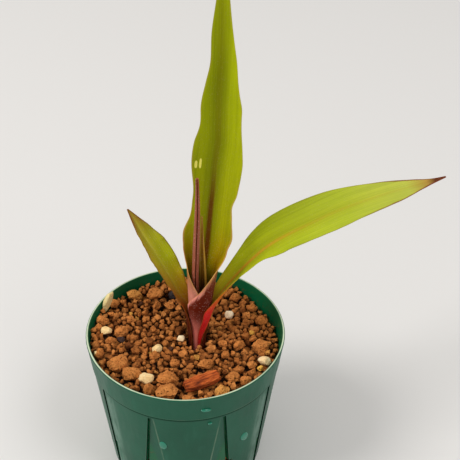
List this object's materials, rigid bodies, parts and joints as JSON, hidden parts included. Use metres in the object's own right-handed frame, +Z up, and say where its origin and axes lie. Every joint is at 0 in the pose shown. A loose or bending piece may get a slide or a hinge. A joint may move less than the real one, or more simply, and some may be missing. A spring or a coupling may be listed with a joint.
{
  "type": "potted pitcairnia sanguinea",
  "caption": "Young bromeliad with pointed strap leaves rising from a wrapped sheath, in a tapered plastic nursery pot filled with baked clay granules.",
  "frame": {"origin": "middle of the flat underside of the pot, on the surface that it stands on", "axes": "+Z up, +X towards the long arching leaf, -Y towards the side that the tall leaf's upper face looks to"},
  "size_m": [0.1608, 0.09, 0.2491],
  "materials": {
    "pot": "satin moulded polypropylene",
    "clay_granules": "rough, matt and porous",
    "rootstock": "rough and matt",
    "green_leaf": "soft sheen with fine lengthwise veins",
    "young_leaf": "soft sheen with pale scurf",
    "pale_stone": "rough and matt",
    "bark": "fibrous and matt"
  },
  "bodies": {
    "root": {"pot": "pot", "soil": "clay_granules", "rootstock": "rootstock", "leaf_tall_back": "green_leaf", "leaf_long_right": "green_leaf", "leaf_short_left": "green_leaf", "leaf_young_spear": "young_leaf", "leaf_inner_folded": "young_leaf", "pale_stone_leaning": "pale_stone", "pale_stone_left": "pale_stone", "pale_stone_middle": "pale_stone", "pale_stone_crown": "pale_stone", "pale_stone_front": "pale_stone", "pale_stone_right": "pale_stone", "pale_stone_edge": "pale_stone", "pale_stone_cluster": "pale_stone", "bark_chip": "bark"}
  },
  "joints": []
}
